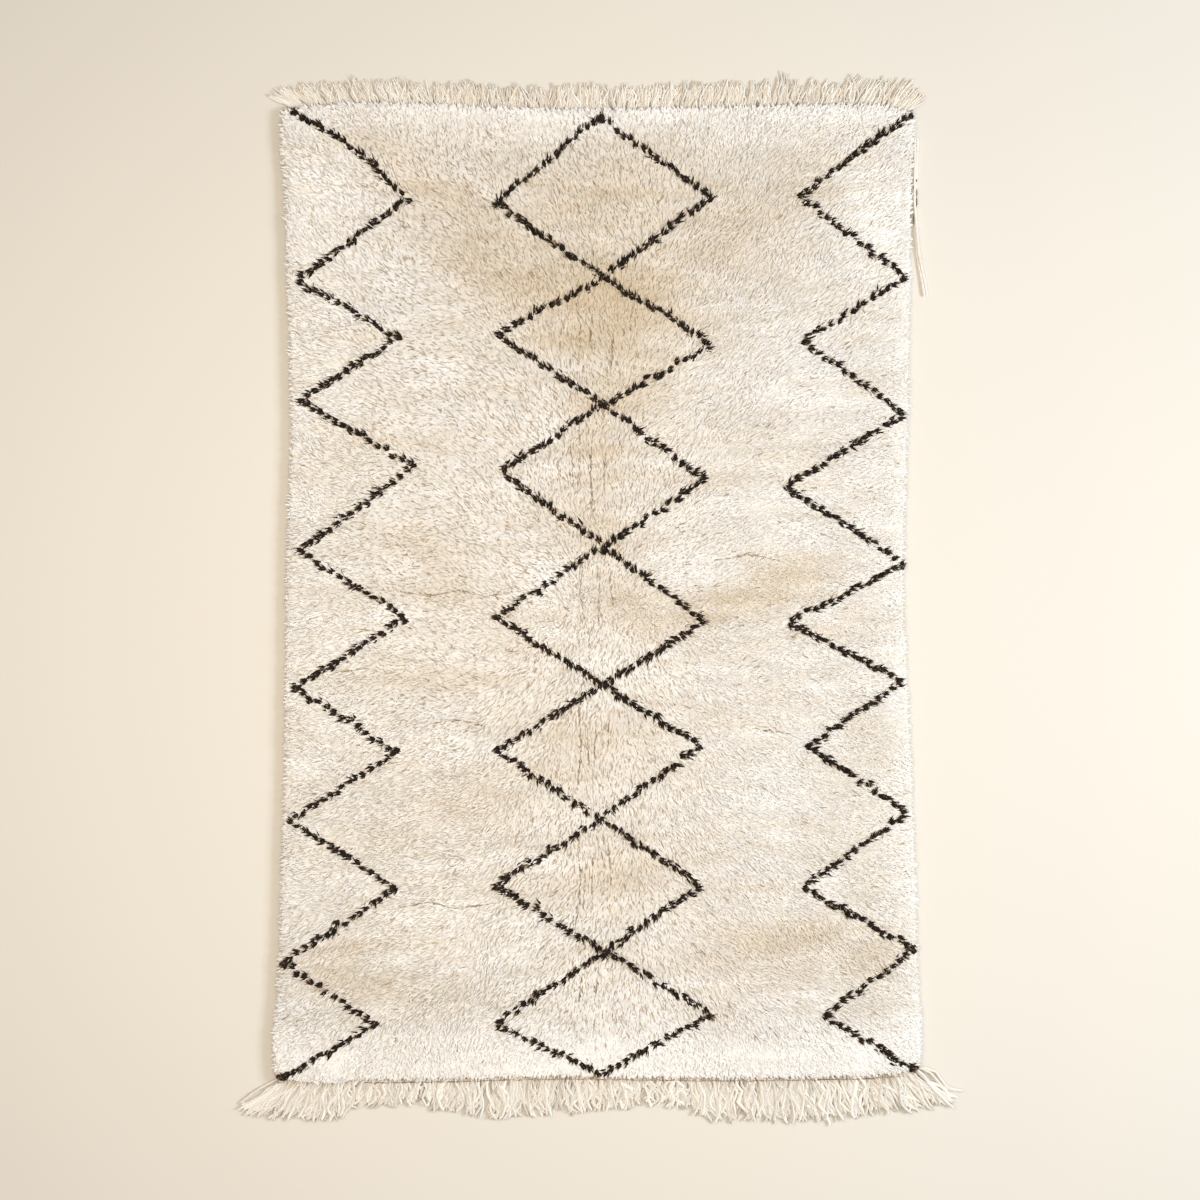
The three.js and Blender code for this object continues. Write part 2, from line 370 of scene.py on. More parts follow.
def inset_of(x, y):
    """How far inside the pile's edge line a point lies, in metres, with rounded corners."""
    sideways = np.minimum(x - left_edge(y), right_edge(y) - x)
    lengthways = np.minimum(top_edge(x) - y, y - bottom_edge(x))
    a, b = CORNER_RADIUS - sideways, CORNER_RADIUS - lengthways
    rounded = CORNER_RADIUS - np.hypot(np.maximum(a, 0), np.maximum(b, 0))
    return np.where((a > 0) & (b > 0), rounded, np.minimum(sideways, lengthways))


def drift(x, y, cell, seed):
    """Smooth seeded noise from -1 to 1 whose waves are about as wide as cell, in metres."""
    steps = int(2 * NOISE_REACH / cell) + 3
    lattice = np.random.default_rng(seed).uniform(-1, 1, (steps, steps))
    gx, gy = (np.asarray(x) + NOISE_REACH) / cell, (np.asarray(y) + NOISE_REACH) / cell
    i, j = gx.astype(int), gy.astype(int)
    fx, fy = gx - i, gy - j
    fx, fy = fx * fx * (3 - 2 * fx), fy * fy * (3 - 2 * fy)
    low = lattice[i, j] * (1 - fx) + lattice[i + 1, j] * fx
    high = lattice[i, j + 1] * (1 - fx) + lattice[i + 1, j + 1] * fx
    return low * (1 - fy) + high * fy


def patches_at(x, y, patches):
    """How strongly soft oval patches show at each place, summed."""
    total = np.zeros(np.shape(x))
    for cx, cy, rx, ry, strength, degrees in patches:
        c, s = math.cos(math.radians(degrees)), math.sin(math.radians(degrees))
        dx, dy = x - cx, y - cy
        r = np.hypot((dx * c + dy * s) / rx, (dy * c - dx * s) / ry)
        total += strength * np.exp(-1.3 * r * r)
    return total


def tan_at(x, y):
    """How far the wool has gone tan at each place, from 0 for the whitest to 1."""
    total = 0.075 + 0.04 * drift(x, y, 0.16, 11) + 0.04 * drift(x, y, 0.05, 12)
    total = total + 0.03 * np.clip(x / 0.4, 0, 1)
    # Each batch of yarn was a little different, which shows as streaks along the rows.
    total = total + 0.19 * drift(0.2 * x, y, 0.024, 13) + 0.11 * drift(0.35 * x, y, 0.010, 14)
    total = total + DEEPEST_TAN * patches_at(x, y, TAN_PATCHES)
    # Both ends and the left edge are paler. By the right edge the paler, less tan colour is painted light,
    # where the light falls strongest.
    from_bottom, from_top = y - bottom_edge(x), top_edge(x) - y
    ends = np.maximum(near(from_bottom - 0.10, 0.07), near(from_top - 0.02, 0.08))
    from_right = right_edge(y) - x
    right = (1 - near(from_right, 0.02)) * near(from_right, 0.12)
    left = near(x - left_edge(y), 0.20)
    total = total * (1 - 0.75 * ends) * (1 - 0.5 * right) - 0.16 * ends - 0.12 * right - 0.06 * left
    return np.clip((total + WHITEST) / (1 + WHITEST), 0, 1)


def pile_profile(x, y, height):
    """The pile's height near its edge, where the tips spread outwards and hang down."""
    flatter = near(right_edge(y) - x, 0.06)  # the right edge is trodden flatter
    edge = EDGE_HEIGHT - 0.006 * flatter
    share = np.clip(inset_of(x, y) / (EDGE_FALL + 0.012 * flatter), 0, 1)
    return edge + (height - edge) * np.sqrt(1 - (1 - share) ** 2)


def bed_height(x, y):
    lumps = 0.0009 * drift(x, y, 0.03, 21) + 0.0006 * drift(x, y, 0.014, 22)
    height = pile_profile(x, y, BED_HEIGHT) + np.maximum(0.0012 * fresh_at(x, y), 0.0002 * calm_at(x, y))
    return np.maximum(height + lumps - 0.001, WEAVE_THICKNESS + 0.0008)


def fresh_at(x, y):
    """How untrodden the pile is, from 0 to 1: the wool by both ends still stands up, and is whiter."""
    return np.maximum(near(y - bottom_edge(x) - 0.07, 0.07), 0.9 * near(top_edge(x) - y - 0.025, 0.09))


def white_at(x, y):
    """How light the wool is, from 0 to 1: by both ends, in patches, and by the right edge, where it is
    painted light.
    """
    # By the right edge, painted light: lighter over the margin where the light falls, and lighter still at
    # the very edge against its shade.
    from_right = right_edge(y) - x
    right = 0.9 * near(from_right, 0.07) + 0.5 * near(from_right, 0.012)
    streaks = 0.45 * drift(0.3 * x, y, 0.02, 24)
    ends = 0.62 * fresh_at(x, y)
    return np.maximum(np.maximum(ends, right), patches_at(x, y, WHITE_PATCHES)) + streaks


def calm_at(x, y):
    """How closely the pile is felted, from 0 to 1: on the right, and low on the left and at its edge."""
    low = np.maximum(np.clip((-0.2 - y) / 0.2, 0, 1), np.clip((-0.5 - x) / 0.1, 0, 1))
    return np.clip((abs(x) - 0.12) / 0.15, 0, 1) * np.where(x > 0, 1, low)


def bed_values(x, y):
    """What the bed's mesh stores for its material, place by place."""
    felted = np.maximum(0.36 * fresh_at(x, y), 0.26 * calm_at(x, y))
    return {
        "tone": 0.5 + 0.3 * drift(x, y, 0.02, 23) + 0.5 * white_at(x, y),
        # along sets the painted shade: deep in the bed, lighter where the pile is fresh and where it is
        # felted
        "along": 0.34 + 0.10 * drift(x, y, 0.018, 24) + felted,
        "tan": tan_at(x, y) + 0.10 * calm_at(x, y),
    }


COLOUR, NUMBER = "NodeSocketColor", "NodeSocketFloat"


def wool_group():
    """Wool's look: its colour by strand and by wear, painted shade towards the roots, and the fuzz of its
    fibres.

    It reads what each mesh stores: tone, along, from a strand's root to its tip, which sets how much painted
    shade it gets, and tan.
    """
    group = bpy.data.node_groups.new("wool fibres", "ShaderNodeTree")
    for name, kind, value in (
        ("Clean", COLOUR, (0.8, 0.76, 0.68, 1)), ("Tan", COLOUR, (0.6, 0.45, 0.3, 1)),
        ("Depth", COLOUR, (0.4, 0.3, 0.2, 1)), ("Unevenness", NUMBER, 0.12), ("Fibre Scale", NUMBER, 700.0),
    ):
        group.interface.new_socket(name, in_out="INPUT", socket_type=kind).default_value = value
    for name, kind in (("Color", COLOUR), ("Roughness", NUMBER), ("Fibre Height", NUMBER)):
        group.interface.new_socket(name, in_out="OUTPUT", socket_type=kind)
    given = add_node(group, "NodeGroupInput")
    place = add_node(group, "ShaderNodeTexCoord")["Object"]
    fibre = add_node(group, "ShaderNodeTexNoise", {
        "Vector": place, "Scale": given["Fibre Scale"], "Detail": 3.0, "Roughness": 0.6,
    })["Fac"]
    # Worn wool goes tan.
    worn = add_mix(group, add_stored(group, "tan"), given["Clean"], given["Tan"])
    # Each strand is a little lighter or darker than the next, and its fibres vary too.
    tone = add_maths(group, "SUBTRACT", add_stored(group, "tone"), 0.5)
    fleck = add_maths(group, "MULTIPLY_ADD", fibre, 0.8, tone)
    centred = add_maths(group, "SUBTRACT", fleck, 0.4)
    factor = add_maths(group, "MULTIPLY_ADD", centred, given["Unevenness"], 1.0)
    toned = add_node(group, "ShaderNodeVectorMath", {0: worn, "Scale": factor}, operation="SCALE")["Vector"]
    # Towards the roots the wool is painted duller: painted shade, for the light that doesn't reach deep into
    # the pile.
    rise = add_range(group, add_stored(group, "along"), 0.15, 0.75, blend="SMOOTHSTEP")
    set_inputs(group, group.nodes.new("NodeGroupOutput"), {
        "Color": add_mix(group, rise, given["Depth"], toned),
        "Roughness": add_range(group, fibre, 0.0, 1.0, 0.82, 1.0),
        "Fibre Height": fibre,
    })
    return group


WOOL = wool_group()


def wool_material(
    name, clean, tan, depth_shade, unevenness, bump, fibre_scale=900.0, sheen=0.25, specular=0.15
):
    """A wool material from the shared group; bump is how deep the fibres stand, in metres."""
    material, tree, shader = plain_material(name, sheen, specular)
    wool = add_node(tree, "ShaderNodeGroup", {
        "Clean": (*clean, 1), "Tan": (*tan, 1), "Depth": (*depth_shade, 1),
        "Unevenness": unevenness, "Fibre Scale": fibre_scale,
    }, node_tree=WOOL)
    set_inputs(tree, shader, {
        "Base Color": wool["Color"], "Roughness": wool["Roughness"],
        "Normal": add_bump(tree, wool["Fibre Height"], strength=0.6, distance=bump),
    })
    return material


IVORY = (0.820, 0.804, 0.782)
IVORY_TAN = (0.61, 0.50, 0.355)
BED_DEPTH_SHADE = (0.725, 0.665, 0.585)

pile_bed = closed_slab(
    "pile_bed", BED_INSET, upper=bed_height, lower=weave_top, fine_side="up", values=bed_values
)
pile_bed.data.materials.append(wool_material(
    "ivory pile bed", clean=IVORY, tan=IVORY_TAN, depth_shade=BED_DEPTH_SHADE,
    unevenness=0.3, bump=0.002, fibre_scale=320.0,
))
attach(pile_bed, "root")
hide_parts("rug_body")


# ------------------------------
# Ivory pile. Undyed sheep's wool yarn, knotted by hand in rows over the warps. Each knot's cut
# ends open into a few locks, which bend over and lie outwards from the rug's middle, as they have
# been brushed and trodden. The locks gather in tufts, and part here and there.
PILE_HEIGHT = 0.0225  # to the tips' tops
STRAND_WIDTH = 0.0032  # half the width of a lock of wool
KNOT_LOCKS = 3
STRAND_REACH = 0.0235  # how far a yarn end lies from its knot
KNOT_HEIGHT = 0.006  # where a yarn end leaves its knot
KNOT_INSET = 0.008  # how far the outermost knots stand inside the pile's edge
BEND_AT = 0.34  # share of a lock's reach at which it bends over
KNOT_SPREAD = (0.0022, 0.0032)  # how unevenly the locks of a knot stand, across and along the rug
LOCK_SHAPE = np.array([0.0, 1.0, 0.0])  # a lock's thickness at its root, its bend and its tip
LOWEST = 0.0003  # how far above the floor the lowest wool lies
TINY = 1e-9
TUFT_PITCH = 0.024
EDGE_HANG = 0.010  # how far the outermost ends may hang down over the side
TOP_SPILL = 0.004  # how much further the pile hangs over the short fringe
PILE_BANDS = 5
BANDS_FROM, BANDS_LONG = -1.16, 2.36  # where the first of the bands starts, and their length
SLIT_SHADE_SHARE = 0.07  # share of the locks that are thin and painted in deep shade, as the shaded slits between locks
LEFT_OUT = 0.92  # share of the ivory locks that are left out where a dark tuft lies

# Which way the yarn ends lie, in degrees from +X towards +Y, by place.
LIE = [
    (-0.72, 1.05, 150), (-0.4, 0.92, 152), (-0.4, 0.6, 160), (-0.42, 0.25, 170), (-0.42, -0.15, 176),
    (-0.42, -0.55, 187), (-0.45, -0.85, 192), (-0.73, 0.5, 172), (-0.73, 0.0, 178), (-0.74, -0.6, 184),
    (-0.74, -1.0, 200), (-0.2, 0.95, 128), (-0.2, 0.45, 130), (-0.16, 0.1, 150), (-0.16, -0.25, 215),
    (-0.18, -0.65, 230), (-0.2, -0.95, 235), (0.0, 1.12, 92), (0.02, 0.93, 108), (0.0, 0.6, 92),
    (0.0, 0.3, 90), (0.01, 0.08, 88), (0.01, -0.12, 270), (0.0, -0.35, 270), (0.0, -0.65, 268),
    (0.0, -0.95, 266), (0.0, -1.1, 270), (0.18, 0.95, 75), (0.18, 0.45, 48), (0.18, 0.1, 20),
    (0.18, -0.25, -30), (0.18, -0.65, -50), (0.2, -0.95, -58), (0.42, 0.92, 50), (0.45, 0.6, 25),
    (0.42, 0.25, -3), (0.42, -0.15, -6), (0.42, -0.55, -20), (0.45, -0.85, -30), (0.73, 0.9, 30),
    (0.72, 0.4, 4), (0.71, 0.0, 0), (0.73, -0.6, -8), (0.74, -1.0, -28), (-0.65, 1.14, 138),
    (-0.3, 1.13, 112), (0.3, 1.13, 75), (0.65, 1.13, 48), (-0.65, -1.09, 215), (-0.35, -1.09, 262),
    (0.2, -1.09, 290), (0.45, -1.09, 302), (0.7, -1.08, 328),
]

# Partings, where the pile falls open to either side of a line.
PARTINGS = [
    [(-0.052, 0.7), (-0.046, 0.64), (-0.05, 0.57)], [(-0.02, 0.66), (-0.024, 0.6)],
    [(-0.05, 0.42), (-0.046, 0.33), (-0.054, 0.25)], [(-0.018, 0.39), (-0.022, 0.3), (-0.016, 0.19)],
    [(0.014, 0.35), (0.01, 0.26)], [(-0.04, 0.09), (-0.046, 0.02), (-0.036, -0.05)],
    [(0.0, 0.06), (-0.004, -0.06)], [(0.024, 0.05), (0.03, -0.02)],
    [(-0.05, -0.25), (-0.044, -0.35), (-0.052, -0.43)], [(-0.01, -0.29), (-0.014, -0.38)],
    [(-0.052, -0.56), (-0.046, -0.66), (-0.056, -0.76)], [(-0.016, -0.6), (-0.02, -0.69)],
    [(0.02, -0.58), (0.026, -0.66)], [(-0.044, -0.88), (-0.05, -0.95)], [(-0.03, -0.3), (-0.026, -0.4)],
    [(0.022, -0.28), (0.018, -0.35)], [(-0.034, -0.62), (-0.04, -0.73)],
    [(-0.004, -0.86), (-0.01, -0.93)], [(-0.068, 0.36), (-0.062, 0.26)], [(0.03, 0.62), (0.026, 0.54)],
    [(-0.469, 0.02), (-0.4, 0.01), (-0.33, 0.022), (-0.27, 0.008), (-0.211, 0.018)],
    [(-0.398, -0.29), (-0.34, -0.28), (-0.281, -0.292)],
    [(-0.469, -0.72), (-0.4, -0.708), (-0.33, -0.722), (-0.258, -0.712)],
    [(0.27, 0.094), (0.35, 0.106), (0.422, 0.092)], [(-0.62, -0.17), (-0.54, -0.16)],
    [(0.36, -0.3), (0.44, -0.312)],
]
PARTING = (0.011, 0.002)  # how far to either side the locks turn, and the gap on the line
SMALL_PARTINGS = 760
SMALL_REACH = 0.007
SMALL_GAPS = (0.0007, 0.0015)
MIDDLE_PARTINGS = 110  # how many of the small ones lie down the middle


def lie_of(x, y):
    """Which way a yarn end lies, in radians, and how firmly, from 0 for upright to 1 for flat."""
    cx, cy, total = np.zeros(np.shape(x)), np.zeros(np.shape(x)), np.zeros(np.shape(x))
    for px, py, degrees in LIE:
        weight = 1 / (0.006 + (x - px) ** 2 + (y - py) ** 2) ** 2
        cx += weight * math.cos(math.radians(degrees))
        cy += weight * math.sin(math.radians(degrees))
        total += weight
    swirl = 0.30 * drift(x, y, 0.13, 31) + 0.28 * drift(x, y, 0.045, 32) + 0.2 * drift(x, y, 0.02, 33)
    return np.arctan2(cy, cx) + swirl, np.hypot(cx, cy) / total


def part_along(root, tip, line, reach, gap):
    """Lays the yarn ends beside a parting along it, and clears a thin gap on the line itself."""
    for (ax, ay), (bx, by) in zip(line, line[1:]):
        dx, dy = bx - ax, by - ay
        long = math.hypot(dx, dy)
        nx, ny = -dy / long, dx / long
        box = long / 2 + reach + 0.03
        within = abs(root - ((ax + bx) / 2, (ay + by) / 2)) < box
        close = np.nonzero(within.all(axis=1))[0]
        middle = (root[close] + tip[close]) / 2
        t = ((middle[:, 0] - ax) * dx + (middle[:, 1] - ay) * dy) / long**2
        beyond = np.maximum(np.maximum(-t, t - 1), 0) * long
        at_root = (root[close, 0] - ax) * nx + (root[close, 1] - ay) * ny
        at_tip = (tip[close, 0] - ax) * nx + (tip[close, 1] - ay) * ny
        weight = near(abs(at_root), reach) * near(beyond, 0.008)
        side = np.where(at_root + at_tip < 0, -1.0, 1.0)
        open_gap = gap * np.clip(weight * 3, 0, 1)
        new_root = np.where(weight > 0, side * np.maximum(side * at_root, open_gap), at_root)
        new_tip = at_tip + (new_root - at_tip) * 0.7 * weight
        crossing = (abs(at_root) < 0.03) & (beyond < 0.004)
        new_tip = np.where(crossing, side * np.maximum(side * new_tip, open_gap + gap * 0.5), new_tip)
        root[close] += np.outer(new_root - at_root, (nx, ny))
        tip[close] += np.outer(new_tip - at_tip, (nx, ny))


def tuft_centres(x, y):
    """The nearest tuft's middle for each point, with tufts on a loose grid."""
    steps = int(2 * NOISE_REACH / TUFT_PITCH) + 4
    moves = np.random.default_rng(42).uniform(0.1, 0.9, (2, steps, steps))
    i, j = ((x + NOISE_REACH) / TUFT_PITCH).astype(int), ((y + NOISE_REACH) / TUFT_PITCH).astype(int)
    best = np.full(x.shape, FAR_AWAY)
    tx, ty = np.zeros(x.shape), np.zeros(x.shape)
    for di in (-1, 0, 1):
        for dj in (-1, 0, 1):
            cx = (i + di + moves[0, i + di, j + dj]) * TUFT_PITCH - NOISE_REACH
            cy = (j + dj + moves[1, i + di, j + dj]) * TUFT_PITCH - NOISE_REACH
            far = np.hypot(cx - x, cy - y)
            closer = far < best
            best = np.where(closer, far, best)
            tx, ty = np.where(closer, cx, tx), np.where(closer, cy, ty)
    return tx, ty


def unit(vectors):
    return vectors / np.maximum(np.linalg.norm(vectors, axis=-1, keepdims=True), TINY)


def yarn_mesh(name, points, radius, values, sides=3, flatten=0.6, soften=0.8):
    """Many yarns as one mesh. points is yarns x rings x 3, from the root to the tip.

    Both ends are points: the root is hidden where the yarn comes out, and the tip is a wisp.
    sides is how many sides a yarn has, flatten is its height for its width, and soften turns the
    normals upwards, as fine fuzz all over a yarn does.
    """
    count, rings = points.shape[:2]
    ahead = unit(np.diff(points, axis=1))
    tangent = unit(np.concatenate([ahead[:, :1], ahead[:, :-1] + ahead[:, 1:], ahead[:, -1:]], axis=1))
    side = unit(np.stack([tangent[..., 1], -tangent[..., 0], np.zeros(tangent.shape[:2])], -1))
    top = np.cross(side, tangent)
    angle = (np.pi / 2 + np.arange(sides) * 2 * np.pi / sides)[None, None, :, None]
    r = radius[:, 1:-1, None, None]
    sideways, upwards = side[:, 1:-1, None, :], top[:, 1:-1, None, :]
    ring = points[:, 1:-1, None, :] + r * (sideways * np.cos(angle) + upwards * np.sin(angle) * flatten)
    facing = sideways * np.cos(angle) * flatten + upwards * np.sin(angle)
    per = 2 + (rings - 2) * sides
    verts = np.concatenate([points[:, :1], ring.reshape(count, -1, 3), points[:, -1:]], axis=1)
    verts[..., 2] = np.maximum(verts[..., 2], LOWEST)
    facing = unit(np.concatenate([top[:, :1], facing.reshape(count, -1, 3), top[:, -1:]], axis=1))
    facing = unit(facing * (1 - soften) + np.array([0, 0, soften]))
    corners, sizes, cells = [], [], []
    heights = np.linspace(0, 1, rings)
    last, tip = 1 + (rings - 3) * sides, per - 1
    for k in range(sides):
        after = (k + 1) % sides
        u0, um, u1 = k / sides, (k + 0.5) / sides, (k + 1) / sides
        corners += [0, 1 + k, 1 + after]
        cells += [(um, 0), (u0, heights[1]), (u1, heights[1])]
        corners += [last + k, tip, last + after]
        cells += [(u0, heights[-2]), (um, 1), (u1, heights[-2])]
        sizes += [3, 3]
        for i in range(rings - 3):
            low, high = 1 + i * sides, 1 + (i + 1) * sides
            v0, v1 = heights[i + 1], heights[i + 2]
            corners += [low + k, high + k, high + after, low + after]
            cells += [(u0, v0), (u0, v1), (u1, v1), (u1, v0)]
            sizes.append(4)
    corners, cells = np.array(corners), np.array(cells)
    columns = math.ceil(math.sqrt(count))
    number = np.arange(count)
    # Each yarn has its own square of the bake layout, with a margin round it.
    origin = np.stack([number % columns, number // columns], -1) / columns
    layout = origin[:, None, :] + (0.05 + 0.9 * cells[None]) / columns
    corners = (corners[None] + number[:, None] * per).ravel()
    spread = {}
    for key, numbers in values.items():
        numbers = np.asarray(numbers, float)
        if numbers.ndim == 1:
            spread[key] = np.repeat(numbers, per)
        else:
            rest = np.repeat(numbers[:, 1:-1], sides, axis=1)
            spread[key] = np.concatenate([numbers[:, :1], rest, numbers[:, -1:]], axis=1).ravel()
    return mesh_from_arrays(
        name, verts.reshape(-1, 3), corners, np.tile(sizes, count), spread,
        cells=layout.reshape(-1, 2), normals=facing.reshape(-1, 3),
    )


def with_heights(*stops):
    """Points along each yarn end, from pairs of a place and a height."""
    return np.stack([np.column_stack([place, np.broadcast_to(z, len(place))]) for place, z in stops], 1)


def lock_widths(width, count):
    return width * np.clip(rng.normal(1, 0.15, count), 0.6, 1.5)


def pile_ends(x, y):
    """Root, bend and tip of a yarn end knotted at each x, y."""
    count = len(x)
    lie, firm = lie_of(x, y)
    firm = firm * (1 - 0.45 * fresh_at(x, y))
    lie = lie + rng.normal(0, 1, count) * (0.32 + 0.9 * (1 - firm))
    px, py = np.cos(lie), np.sin(lie)
    length = STRAND_REACH * (0.45 + 0.55 * firm) * np.clip(rng.normal(1, 0.18, count), 0.5, 1.5)
    # Near the edge the ends turn outwards and hang over it.
    step = 0.002
    inset = inset_of(x, y)
    gx = (inset_of(x + step, y) - inset_of(x - step, y)) / (2 * step)
    gy = (inset_of(x, y + step) - inset_of(x, y - step)) / (2 * step)
    pull = 0.9 * near(inset, 0.035)
    px, py = px - pull * gx, py - pull * gy
    size = np.maximum(np.hypot(px, py), TINY)
    root = np.stack([x, y], -1)
    tip = np.stack([x + px / size * length, y + py / size * length], -1)
    # The ends of a tuft come together.
    cx, cy = tuft_centres(x, y)
    tuft_lie, tuft_firm = lie_of(cx, cy)
    tuft_reach = 0.8 * STRAND_REACH * (0.45 + 0.55 * tuft_firm)
    meet = np.stack([cx + tuft_reach * np.cos(tuft_lie), cy + tuft_reach * np.sin(tuft_lie)], -1)
    gather = 0.26 + 0.15 * drift(x, y, 0.07, 43)
    tip += gather[:, None] * (meet - tip)
    for line in PARTINGS:
        part_along(root, tip, line, *PARTING)
    spots = np.random.default_rng(41)
    for number in range(SMALL_PARTINGS):
        if number < MIDDLE_PARTINGS:
            sx, sy = spots.normal(-0.010, 0.035), spots.uniform(-0.95, 0.66)
        else:
            sx, sy = on_rug(spots.uniform(0.03, 0.97), spots.uniform(0.03, 0.97), 0)
        way = float(lie_of(np.array([sx]), np.array([sy]))[0][0]) + spots.normal(0, 0.3)
        half = spots.uniform(0.008, 0.024)
        hx, hy = half * math.cos(way), half * math.sin(way)
        slit = [(sx - hx, sy - hy), (sx + hx, sy + hy)]
        part_along(root, tip, slit, SMALL_REACH, spots.uniform(*SMALL_GAPS))
    # No end reaches more than a few millimetres past the pile's edge line.
    spill = np.clip(rng.normal(0.0005, 0.004, count), -0.006, 0.008) + np.where(y > 1.0, TOP_SPILL, 0)
    spill += 0.003 * drift(x, y, 0.018, 46)
    over = -inset_of(*tip.T) - spill
    share = np.clip(1 - np.maximum(over, 0) / length, 0.2, 1)[:, None]
    tip = root + (tip - root) * share
    bend = root + (tip - root) * BEND_AT
    waves = 0.001 * drift(x, y, 0.06, 44) + 0.0008 * drift(x, y, 0.025, 45)
    bend_z = pile_profile(*bend.T, PILE_HEIGHT) + waves - rng.uniform(0.002, 0.0042, count)
    sink = rng.uniform(0.0003, 0.0027, count) * (1 - 0.2 * calm_at(x, y))
    tip_z = pile_profile(*tip.T, PILE_HEIGHT) + waves - sink
    # The outermost ends hang down and cover the pile's side.
    tip_z -= near(inset_of(*tip.T), 0.005) * rng.uniform(0, EDGE_HANG, count)
    bend_z, tip_z = np.maximum(bend_z, KNOT_HEIGHT), np.maximum(tip_z, WEAVE_THICKNESS)
    return with_heights((root, KNOT_HEIGHT), (bend, bend_z), (tip, tip_z))


# The dark knots come as small tufts along the pattern's lines. Their places are settled here,
# because the ivory ends leave room for them.
TUFT_STEP = (0.015, 0.0235)
TUFT_HALF = ((0.0064, 0.0114), (0.004, 0.0074))  # half a tuft's length and width
CORNER_TUFT = (0.011, 0.008, 0.0)  # the same for the lower corners' thick tufts, and their way
LARGEST_TUFT = 0.02  # no tuft reaches further than this from its middle
LINE_PULL = 0.6  # how far a tuft turns from the way of the pile towards its line


def beside(start, end, t, off):
    """A place at share t of the way between two corners, and off to the left of that line."""
    (ax, ay), (bx, by) = start, end
    long = math.hypot(bx - ax, by - ay)
    return ax + (bx - ax) * t - (by - ay) / long * off, ay + (by - ay) * t + (bx - ax) / long * off


chart = np.random.default_rng(51)
dark_tufts = []
for line in PATTERN_LINES:
    for start, end in zip(line, line[1:]):
        long = math.dist(start, end)
        direction = math.atan2(end[1] - start[1], end[0] - start[0])
        at = chart.uniform(0.002, 0.010)
        while at < long:
            place = beside(start, end, at / long, chart.normal(0, 0.0024))
            weight = 1.01 + 0.36 * float(drift(*beside(start, end, at / long, 0), 0.09, 52))
            size = [chart.uniform(*half) * weight for half in TUFT_HALF]
            dark_tufts.append((*place, *size, direction))
            at += chart.uniform(*TUFT_STEP)
    dark_tufts.append((line[0][0], line[0][1] - 0.004, 0.009, 0.006, math.pi / 2))
    if abs(line[-1][0]) > 0.5:
        # The zigzags end in a thick tuft in each lower corner.
        inwards = -0.008 if line[-1][0] > 0 else 0.008
        for shift in (-0.6, 0.0, 0.5, 1.0, 1.5):
            place = line[-1][0] + shift * inwards, line[-1][1] + 0.004 * shift
            dark_tufts.append((*place, *CORNER_TUFT))
dark_tufts = np.array(dark_tufts)
# A tuft lies between the way of the pile and the way of its line, whichever end is nearer.
pile_lie = lie_of(dark_tufts[:, 0], dark_tufts[:, 1])[0]
turn = (dark_tufts[:, 4] - pile_lie + math.pi / 2) % math.pi - math.pi / 2
dark_lie = pile_lie + LINE_PULL * turn + chart.normal(0, 0.3, len(dark_tufts))


def covered_by_dark(x, y):
    """Whether each point lies in the oval of a dark tuft."""
    found = np.zeros(len(x), bool)
    order = np.argsort(y)
    ys = y[order]
    for (cx, cy, a, b), way in zip(dark_tufts[:, :4], dark_lie):
        low, high = np.searchsorted(ys, [cy - LARGEST_TUFT, cy + LARGEST_TUFT])
        some = order[low:high]
        dx, dy = x[some] - cx, y[some] - cy
        c, s = math.cos(way), math.sin(way)
        found[some] |= ((dx * c + dy * s) / a) ** 2 + ((dy * c - dx * s) / b) ** 2 < 1
    return found


rng = np.random.default_rng(61)
rows = int((top_edge(0) - bottom_edge(0)) / ROW_PITCH)
knots = int((right_edge(0) - left_edge(0)) / KNOT_PITCH)
u, v = np.meshgrid((np.arange(knots) + 0.5) / knots, (np.arange(rows) + 0.5) / rows)
# The knots of each row stand between those of the row before.
u = u + (np.arange(rows)[:, None] % 2 - 0.5) * 0.5 / knots
knot_x, knot_y = on_rug(u.ravel(), v.ravel(), KNOT_INSET)
knot_x, knot_y = [
    np.repeat(knot, KNOT_LOCKS) + rng.normal(0, spread, knot.size * KNOT_LOCKS)
    for knot, spread in zip((knot_x, knot_y), KNOT_SPREAD)
]
ends = pile_ends(knot_x, knot_y)
seen = ends[:, 1] * 0.4 + ends[:, 2] * 0.6
ends = ends[~(covered_by_dark(seen[:, 0], seen[:, 1]) & (rng.uniform(size=len(seen)) < LEFT_OUT))]

